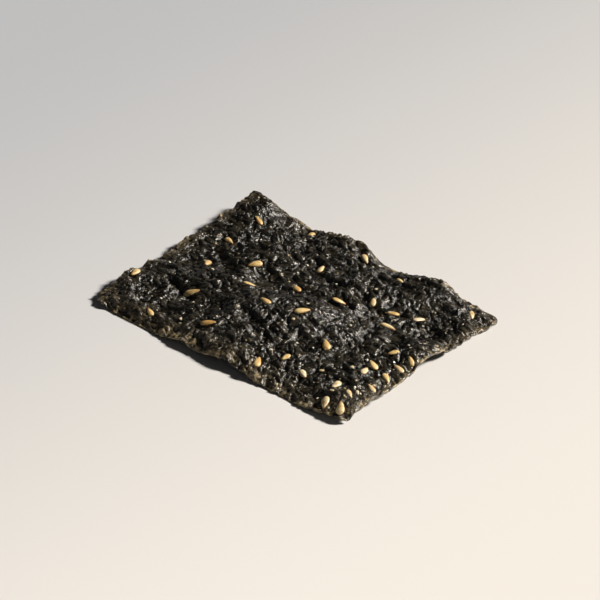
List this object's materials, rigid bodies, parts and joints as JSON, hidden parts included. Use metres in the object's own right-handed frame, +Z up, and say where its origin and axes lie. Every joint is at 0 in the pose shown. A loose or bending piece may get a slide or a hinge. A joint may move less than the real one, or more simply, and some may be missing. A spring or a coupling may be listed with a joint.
{
  "type": "seaweed snack",
  "caption": "Thin square crisp of toasted seaweed, arched and finely wrinkled, with sesame seeds pressed into its top, lying face up.",
  "frame": {"origin": "under the middle of the bounding box, on the table that the crisp lies on", "axes": "+Z up, out of the seeded side; +X along the longer side of the sheet; +Y along the shorter side, away from the turned-down edge"},
  "size_m": [0.053, 0.0482, 0.0054],
  "materials": {
    "toasted_seaweed": "oily, dark green to black, finely wrinkled"
  },
  "bodies": {
    "root": {"seaweed_crisp": "toasted_seaweed"}
  },
  "joints": []
}
